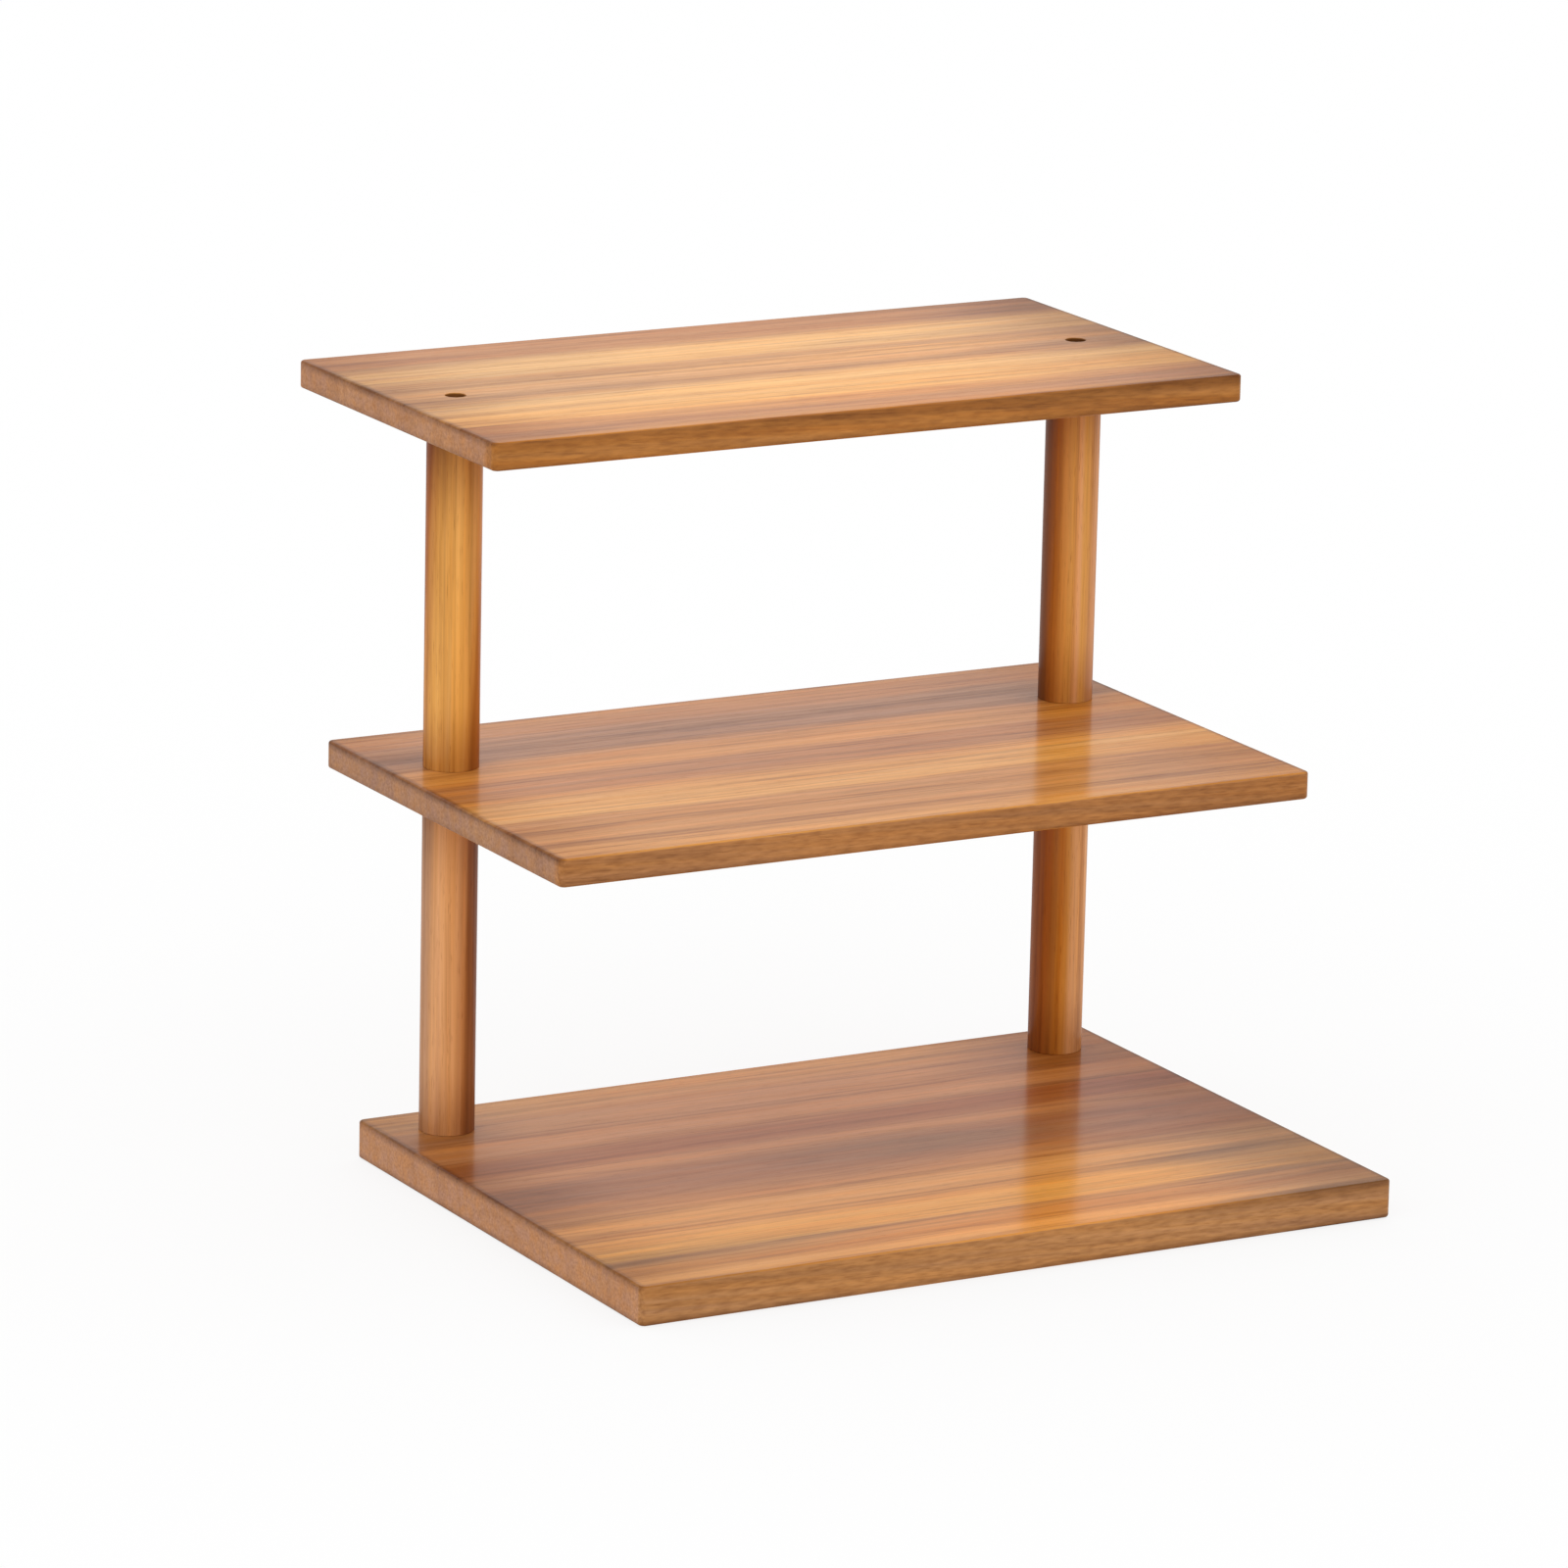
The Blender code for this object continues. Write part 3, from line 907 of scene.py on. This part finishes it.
def lacquered(graph, tone, rings, fibre, shifts, strength, coat, calm=None):
    """Rings, streaks, fibres and pores of a given strength laid over a tone, under clear lacquer.
    Where calm is 1 the grain is fainter."""
    wide, narrow = rings
    shift, hue_shift = shifts
    blotches = streaks(graph, fibre, shift, BLOTCHES)
    hues = streaks(graph, fibre, hue_shift, HUES)
    lines = streaks(graph, fibre, shift, LINES)
    fibres = streaks(graph, fibre, shift, FIBRES)
    pores = graph.fit(streaks(graph, fibre, shift, PORES), *PORE_LIMITS, smooth=True)

    depth = graph.math("MULTIPLY", wide, WIDE_RING_SHARE)
    depth = graph.math("MULTIPLY_ADD", narrow, NARROW_RING_SHARE, depth)
    depth = graph.math("MULTIPLY_ADD", blotches, BLOTCH_SHARE, depth)
    depth = graph.math("MULTIPLY_ADD", lines, LINE_SHARE, depth)
    depth = graph.math("MULTIPLY_ADD", fibres, FIBRE_SHARE, depth)
    dark = graph.fit(depth, 0.5 - GRAIN_SPREAD / strength, 0.5 + GRAIN_SPREAD / strength)
    if calm is not None:
        dark = graph.mix(graph.math("MULTIPLY", calm, CALM_SHARE), dark, 0.5)
    tint = graph.ramp(dark, ((0.0, LIGHT_GRAIN), (0.5, EVEN_GRAIN), (1.0, DARK_GRAIN)))
    colour = graph.tinted(tone, tint)
    warm, cool = HUE_LIMITS
    warmth = graph.ramp(hues, ((warm, WARM_GRAIN), (0.5, EVEN_GRAIN), (cool, COOL_GRAIN)))
    colour = graph.tinted(colour, warmth)
    colour = graph.tinted(colour, PORE_TINT, graph.math("MULTIPLY", pores, PORE_SHARE))

    relief = graph.math("MULTIPLY", narrow, RING_RELIEF)
    relief = graph.math("MULTIPLY_ADD", fibres, FIBRE_RELIEF, relief)
    relief = graph.math("MULTIPLY_ADD", pores, -PORE_RELIEF, relief)
    roughness = graph.fit(dark, 0.0, 1.0, *WOOD_ROUGHNESS)
    roughness = graph.math("MULTIPLY_ADD", pores, PORE_ROUGHNESS, roughness)
    return graph.finish(
        {
            "Base Color": colour,
            "Roughness": roughness,
            "Specular IOR Level": WOOD_SHINE,
            "Normal": graph.bump(relief, WOOD_RELIEF),
            "Coat Weight": coat,
            "Coat Roughness": LACQUER_ROUGHNESS,
            "Coat IOR": LACQUER_IOR,
            "Coat Normal": graph.bump(relief, LACQUER_RELIEF),
        }
    )


def share_of(place, low, high):
    """A place as a share of a range with a margin round it."""
    return (place - low + PITH_MARGIN) / (high - low + 2 * PITH_MARGIN)


def stave_steps(look, low, high):
    """For each glued stave, where it starts and, as shares, a chance value and the place of the
    middle of its growth rings. Most staves have it beside them, a flat-sawn one below."""
    steps = []
    staves = look["staves"]
    for index, (start, end) in enumerate(zip((0.0, *staves), (*staves, 1.0))):
        chance = (index * STAVE_STEP + STAVE_START) % 1.0
        across = high.y - (start + end) / 2 * (high.y - low.y)
        through = low.z
        if index == look["flat_stave"]:
            through -= PITH_BELOW
        else:
            across += PITH_BESIDE * (1 if chance > 0.5 else -1)
            through -= PITH_BELOW * (chance - 0.5)
        middle = (share_of(across, low.y, high.y), share_of(through, low.z, high.z))
        steps.append((start, (chance, *middle)))
    return steps


def patched(graph, tone, patches, along, across):
    """A tone changed inside patches; places are shares of the board."""
    for start, end, back, front, tint in patches:
        inside = graph.math(
            "MULTIPLY",
            graph.span(along, start, end, PATCH_SOFT_ALONG),
            graph.span(across, back, front, PATCH_SOFT_ACROSS),
        )
        tone = graph.tinted(tone, tint, inside)
    return tone


def painted_bore_shade(graph, tone, place, low, high, bores):
    """Painted shade: a tone made darker inside the two screw holes, which lie as far left as right of the
    middle.
    """
    x, y, z = place
    (_, left_y), (right_x, _), radius = bores
    off_x = graph.math("SUBTRACT", graph.math("ABSOLUTE", x), right_x)
    off_y = graph.math("SUBTRACT", y, left_y)
    off_axis = graph.vector("LENGTH", graph.join(off_x, off_y, 0.0))
    near = graph.fit(off_axis, radius + BORE_LIP, radius + 2 * BORE_LIP, 1.0, 0.0)
    from_top = graph.math("SUBTRACT", high.z, z)
    from_foot = graph.math("SUBTRACT", z, low.z)
    inside = graph.fit(graph.math("MINIMUM", from_top, from_foot), 0.0, 2 * BORE_LIP)
    return graph.tinted(tone, BORE_SHADE_TINT, graph.math("MULTIPLY", near, inside))


def corner_lines_and_shade(graph, place, from_end, from_side, rim, low, high, look):
    """How strong the dark lines along a board's upper corners are, and the painted shade round its foot."""
    x, y, z = place
    from_top = graph.math("SUBTRACT", high.z, z)
    from_foot = graph.math("SUBTRACT", z, low.z)
    end_line = graph.fit(
        graph.math("ADD", from_end, from_top), END_LINE_CORE, END_LINE_REACH, look["end_line_strength"], 0.0
    )
    front_line = graph.fit(graph.math("ADD", from_side, from_top), 0.0, FRONT_LINE_REACH, 1.0, 0.0)
    first, last = FRONT_LINE_LIMITS
    strength = graph.fit(x, high.x * first, high.x * last, *look["front_line_strength"])
    front_line = graph.math("MULTIPLY", front_line, strength)
    # Painted shade along the lower corners, all round the board
    foot_shade_line = graph.fit(from_foot, 0.0, FOOT_SHADE_REACH, look["foot_shade_strength"], 0.0)
    lines_and_shade = graph.math("MAXIMUM", end_line, front_line)
    lines_and_shade = graph.math("MAXIMUM", lines_and_shade, graph.math("MULTIPLY", foot_shade_line, rim))

    spot = graph.vector("MULTIPLY", graph.join(x, y, 0.0), (1.0 / DARK_LINE_PATCH,) * 3)
    spread = graph.noise(spot, look["seed"], DARK_LINE_DETAIL)
    spread = graph.fit(spread, *DARK_LINE_LIMITS, DARK_LINE_LEAST, 1.0)
    return graph.math("MULTIPLY", lines_and_shade, spread)


def edge_wood(graph, tone, place, normal, low, high, look):
    """The tone of a board with its edges, the long sides' tone being partly painted shade: also how far a
    point is on an end, and how worn the lacquer is at a dark corner line, under the painted foot shade or
    near an end."""
    x, y, _ = place
    normal_x, _, normal_z = graph.split(normal)
    from_front = graph.math("SUBTRACT", y, low.y)
    from_side = graph.math("MINIMUM", from_front, graph.math("SUBTRACT", high.y, y))
    from_left = graph.math("SUBTRACT", x, low.x)
    from_end = graph.math("MINIMUM", from_left, graph.math("SUBTRACT", high.x, x))
    rim = graph.fit(graph.math("MINIMUM", from_end, from_side), RIM_WIDTH / 2, RIM_WIDTH, 1.0, 0.0)
    upright = graph.fit(graph.math("ABSOLUTE", normal_z), *UPRIGHT_LIMITS, 1.0, 0.0, smooth=True)
    edge = graph.math("MULTIPLY", rim, upright)
    endwise = graph.fit(graph.math("ABSOLUTE", normal_x), *ENDWISE_LIMITS, smooth=True)
    margin = look["end_margin"]
    behind = graph.fit(from_front, margin, 2 * margin, smooth=True)
    end = graph.math("MULTIPLY", graph.math("MULTIPLY", edge, endwise), behind)

    # The long sides' even tone is partly wood tone and partly painted shade, darker than the tops; the ends
    # keep the end grain's tone
    even = graph.blend("MIX", end, look["edge"], look["end"])
    tone = graph.blend("MIX", graph.math("MULTIPLY", edge, EDGE_SHARE), tone, even)
    spot = drawn_out(graph, place, SPECK_LENGTH, SPECK_WIDTH)
    specks = graph.noise(spot, look["seed"], SPECK_DETAIL)
    light, dark = SPECK_LIMITS
    speckle = graph.ramp(specks, ((light, LIGHT_SPECK), (0.5, EVEN_GRAIN), (dark, DARK_SPECK)))
    tone = graph.tinted(tone, speckle, edge)

    lines_and_shade = corner_lines_and_shade(graph, place, from_end, from_side, rim, low, high, look)
    # Dark lines along the upper corners, and painted shade along the lower ones
    tone = graph.tinted(tone, DARK_LINE_AND_SHADE_TINT, lines_and_shade)
    thin = graph.fit(from_end, 0.0, LACQUER_THIN_REACH, LACQUER_THIN_SHARE, 0.0, smooth=True)
    return tone, end, graph.math("MAXIMUM", lines_and_shade, thin)


def board_wood(name, low, high, look, bores):
    """Glued staves of striped hardwood, with the grain along X."""
    graph = Graph(name)
    seed = look["seed"]
    coordinates = graph.node("ShaderNodeTexCoord")
    place = graph.split(coordinates.outputs["Object"])
    x, y, z = place
    stave = graph.ramp(graph.fit(y, high.y, low.y), stave_steps(look, low, high), "CONSTANT")
    chance, pith_across, pith_through = graph.split(stave)
    pith_across = graph.fit(pith_across, 0.0, 1.0, low.y - PITH_MARGIN, high.y + PITH_MARGIN)
    pith_through = graph.fit(pith_through, 0.0, 1.0, low.z - PITH_MARGIN, high.z + PITH_MARGIN)
    shift = graph.math("MULTIPLY_ADD", chance, STAVE_SHIFT, seed)
    hue_shift = graph.math("ADD", shift, HUE_SHIFT)

    skew = graph.math("MULTIPLY", graph.math("SUBTRACT", chance, 0.5), FIBRE_SKEW)
    across = graph.math("MULTIPLY_ADD", x, skew, y)
    through = graph.math("MULTIPLY_ADD", x, FIBRE_SLOPE, z)
    sideways, upward = sway(graph, (x, across, through), seed)

    swayed = graph.math("MULTIPLY_ADD", sideways, BAND_SWAY, across)
    share = graph.fit(swayed, high.y, low.y)
    tone = graph.ramp(share, look["bands"], "EASE")
    tone = graph.tinted(tone, look["wash"])
    ragged = streaks(graph, place, seed, RAGGED_STREAKS)
    ragged = graph.math("MULTIPLY", graph.math("SUBTRACT", ragged, 0.5), PATCH_RAGGED)
    along = graph.math("ADD", graph.fit(x, low.x, high.x), ragged)
    tone = patched(graph, tone, look["patches"], along, share)
    tone, end, wear = edge_wood(graph, tone, place, coordinates.outputs["Normal"], low, high, look)
    # Painted shade inside the screw holes
    tone = painted_bore_shade(graph, tone, place, low, high, bores)

    rings = growth_rings(
        graph,
        graph.math("MULTIPLY_ADD", sideways, RING_SWAY, across),
        graph.math("MULTIPLY_ADD", upward, RING_SWAY, through),
        pith_across,
        pith_through,
        shift,
    )
    fibre = (x, swayed, through)
    coat = graph.fit(wear, 0.0, 1.0, LACQUER_WEIGHT, LACQUER_WEIGHT * (1.0 - LACQUER_WEAR))
    return lacquered(graph, tone, rings, fibre, (shift, hue_shift), look["grain"], coat, end)


def post_wood(name, low, high, look):
    """A turned post of striped hardwood, with the grain along Z, painted shade at its head and foot, and
    layers that paint shade on its sides as well as tone.
    """
    graph = Graph(name)
    seed = look["seed"]
    radius = (high.x - low.x) / 2
    spot = graph.node("ShaderNodeTexCoord").outputs["Object"]
    local = graph.vector("SUBTRACT", spot, (*box_middle(low, high), 0.0))
    x, y, z = graph.split(local)
    sideways, inward = sway(graph, (z, x, y), seed)
    # Painted shade as well as wood tone: the layers run across the view from the front left, so their
    # darker sides stay where the posts are seen in shade
    layer_line = (math.cos(POST_SHADE_LAYER_TURN), math.sin(POST_SHADE_LAYER_TURN), 0.0)
    side = graph.vector("DOT_PRODUCT", local, layer_line)
    side = graph.math("MULTIPLY_ADD", sideways, BAND_SWAY / 2, side)
    middle = (low.z + high.z) / 2
    head_lean, foot_lean = look["lean"]
    side = graph.math("ADD", side, graph.fit(z, low.z, middle, foot_lean * radius, 0.0))
    side = graph.math("ADD", side, graph.fit(z, middle, high.z, 0.0, head_lean * radius))
    stops = [((reach + 1.0) / 2.0, tone) for reach, tone in look["tone_and_shade_layers"]]
    tone = graph.ramp(graph.fit(side, -radius, radius), stops, "EASE")

    # Painted shade: darker towards the foot, where the post meets the board below, and towards the head,
    # under the shelf above
    foot = graph.fit(z, low.z, low.z + POST_FOOT_SHADE_REACH, look["foot"], 0.0, smooth=True)
    head = graph.fit(z, high.z - POST_HEAD_SHADE_REACH, high.z, 0.0, look["head"], smooth=True)
    tone = graph.tinted(tone, POST_END_SHADE_TINT, graph.math("MAXIMUM", foot, head))

    across = graph.math("MULTIPLY_ADD", sideways, RING_SWAY / 2, x)
    through = graph.math("MULTIPLY_ADD", inward, RING_SWAY / 2, y)
    rings = growth_rings(graph, across, through, *look["pith"], seed)
    fibre = (z, across, through)
    shifts = (seed, seed + HUE_SHIFT)
    return lacquered(graph, tone, rings, fibre, shifts, POST_GRAIN, POST_LACQUER_WEIGHT)


# Metals

def metal_place(graph, size):
    """The place on a piece in steps of a given size."""
    place = graph.node("ShaderNodeTexCoord").outputs["Object"]
    return graph.vector("MULTIPLY", place, (1.0 / size,) * 3)


def plated_steel(name, look):
    """Steel with a mottled, faintly gritty plating, made once and shared by its pieces."""
    if name in bpy.data.materials:
        return bpy.data.materials[name]
    graph = Graph(name)
    mottle_seed, grit_seed = look["seeds"]
    mottle_place = metal_place(graph, look["mottle"])
    mottle = graph.noise(mottle_place, mottle_seed, MOTTLE_DETAIL, MOTTLE_ROUGHNESS)
    grit = graph.noise(metal_place(graph, look["grit"]), grit_seed, GRIT_DETAIL)
    return graph.finish(
        {
            "Base Color": graph.ramp(mottle, list(zip(MOTTLE_LIMITS, look["tones"]))),
            "Metallic": 1.0,
            "Roughness": graph.fit(mottle, *MOTTLE_LIMITS, *look["roughness"]),
            "Normal": graph.bump(grit, look["relief"]),
        }
    )


def turned_brass():
    """Turned brass: fine rings left by the tool, and slightly uneven colour."""
    graph = Graph("insert_turned_brass")
    place = graph.node("ShaderNodeTexCoord").outputs["Object"]
    mottle_seed, ring_seed = BRASS_SEEDS
    mottle_place = graph.vector("MULTIPLY", place, BRASS_MOTTLE_STEPS)
    mottle = graph.noise(mottle_place, mottle_seed, MOTTLE_DETAIL, MOTTLE_ROUGHNESS)
    rings = graph.noise(graph.vector("MULTIPLY", place, BRASS_RING_STEPS), ring_seed, GRIT_DETAIL)
    return graph.finish(
        {
            "Base Color": graph.ramp(mottle, list(zip(MOTTLE_LIMITS, BRASS_TONES))),
            "Metallic": 1.0,
            "Roughness": graph.fit(rings, *MOTTLE_LIMITS, *BRASS_ROUGHNESS),
            "Normal": graph.bump(rings, BRASS_RELIEF),
        }
    )


# Stage

def add_floor():
    """A plain white table, lit a little from within so that it stays pale round the rack."""
    bm = bmesh.new()
    bmesh.ops.create_grid(bm, x_segments=FLOOR_SEGMENTS, y_segments=FLOOR_SEGMENTS, size=FLOOR_HALF)
    bmesh.ops.translate(bm, verts=bm.verts, vec=(0.0, 0.0, -FLOOR_DROP))
    mesh = bpy.data.meshes.new("floor")
    bm.to_mesh(mesh)
    bm.free()
    floor = bpy.data.objects.new("floor", mesh)
    bpy.context.scene.collection.objects.link(floor)
    graph = Graph("floor_white")
    mesh.materials.append(
        graph.finish(
            {
                "Base Color": (FLOOR_TONE,) * 3,
                "Roughness": FLOOR_ROUGHNESS,
                "Specular IOR Level": 0.0,
                "Emission Color": (1.0, 1.0, 1.0),
                "Emission Strength": FLOOR_GLOW,
            }
        )
    )


def add_light():
    """A soft white dome: dim at the horizon, full from a fifth of its height, dimmer overhead."""
    world = bpy.data.worlds.new("studio")
    world.use_nodes = True
    bpy.context.scene.world = world
    nodes = world.node_tree.nodes
    links = world.node_tree.links
    nodes.clear()
    direction = nodes.new("ShaderNodeTexCoord")
    split = nodes.new("ShaderNodeSeparateXYZ")
    ramp = nodes.new("ShaderNodeValToRGB")
    set_stops(ramp.color_ramp, [(height, (level,) * 3) for height, level in SKY_STEPS], "EASE")
    background = nodes.new("ShaderNodeBackground")
    background.inputs["Strength"].default_value = SKY_PEAK
    output = nodes.new("ShaderNodeOutputWorld")
    links.new(direction.outputs["Generated"], split.inputs["Vector"])
    links.new(split.outputs["Z"], ramp.inputs["Fac"])
    links.new(ramp.outputs["Color"], background.inputs["Color"])
    links.new(background.outputs["Background"], output.inputs["Surface"])


def add_camera():
    """The camera at the photograph's place and angle."""
    back = Vector(
        (
            math.sin(CAMERA_AZIMUTH) * math.cos(CAMERA_ELEVATION),
            -math.cos(CAMERA_AZIMUTH) * math.cos(CAMERA_ELEVATION),
            math.sin(CAMERA_ELEVATION),
        )
    )
    level = Vector((0.0, 0.0, 1.0)).cross(back).normalized()
    upright = back.cross(level)
    right = math.cos(CAMERA_ROLL) * level + math.sin(CAMERA_ROLL) * upright
    up = math.cos(CAMERA_ROLL) * upright - math.sin(CAMERA_ROLL) * level
    data = bpy.data.cameras.new("camera")
    data.lens = CAMERA_LENS
    data.sensor_width = CAMERA_SENSOR
    data.clip_start = CAMERA_NEAR
    data.clip_end = CAMERA_FAR
    camera = bpy.data.objects.new("camera", data)
    bpy.context.scene.collection.objects.link(camera)
    turn = Matrix((right, up, back)).transposed().to_4x4()
    camera.matrix_world = Matrix.Translation(CAMERA_TARGET + CAMERA_DISTANCE * back) @ turn
    bpy.context.scene.camera = camera


# The whole rack

def fastener_radii():
    """Radii and depths of the holes and pockets that the fasteners sit in."""
    stud_low, stud_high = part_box("middle_stud_left")
    screw_low, screw_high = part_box("top_screw_left")
    insert_low, insert_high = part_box("lower_post_left_foot_insert")
    base_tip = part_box("base_screw_left")[1].z
    post_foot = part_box("lower_post_left")[0].z
    thread = (stud_high.x - stud_low.x) / 2
    return {
        "thread": thread,
        "hole": thread + HOLE_GAP,
        "recess": (screw_high.x - screw_low.x) / 2 + HOLE_GAP,
        "pocket": (insert_high.x - insert_low.x) / 2 + POCKET_GAP,
        "pocket_depth": POCKET_SINK + insert_high.z - insert_low.z + POCKET_GAP,
        "pilot_depth": base_tip - post_foot + TIP_GAP,
    }


def main():
    """The stage and every piece of the rack."""
    bpy.context.scene.view_settings.view_transform = "Standard"
    add_camera()
    add_light()
    add_floor()

    radii = fastener_radii()
    post_places = [box_middle(*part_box("lower_post_" + side)) for side in SIDES]
    for node, look in BOARD_LOOKS.items():
        add_board(node, look, post_places, radii)
    for node, look in POST_LOOKS.items():
        add_post(node, look, radii)
    for side in SIDES:
        add_screw("top_screw_" + side, 1, radii["thread"])
        add_screw("base_screw_" + side, -1, radii["thread"])
        add_stud("middle_stud_" + side)

    brass = turned_brass()
    for node, cad_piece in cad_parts.items():
        if node.endswith("_insert"):
            cad_piece.data.materials.clear()
            cad_piece.data.materials.append(brass)


main()
